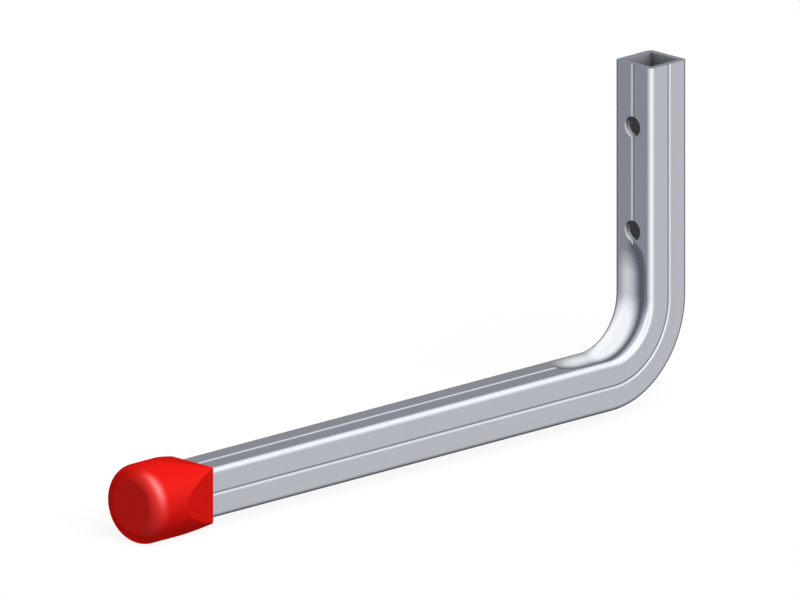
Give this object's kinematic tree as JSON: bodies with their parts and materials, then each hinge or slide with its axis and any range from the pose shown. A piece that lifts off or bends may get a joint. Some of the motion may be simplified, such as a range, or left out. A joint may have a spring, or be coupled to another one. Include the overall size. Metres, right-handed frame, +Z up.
{
  "type": "straight wall hook",
  "caption": "Wall hook bent from square aluminium tube: a short leg with screw holes, a tight bend and a long level arm that ends in a red plastic cap.",
  "frame": {"origin": "on the wall face of the leg, midway between the two screw holes", "axes": "+X out of the wall along the arm, +Z up along the leg, Y across the tube, which is symmetric about Y = 0"},
  "size_m": [0.353, 0.038, 0.167],
  "materials": {
    "tube_aluminium": "satin",
    "cap_plastic": "satin"
  },
  "bodies": {
    "root": {"bent_tube": "tube_aluminium", "end_cap": "cap_plastic"}
  },
  "joints": []
}
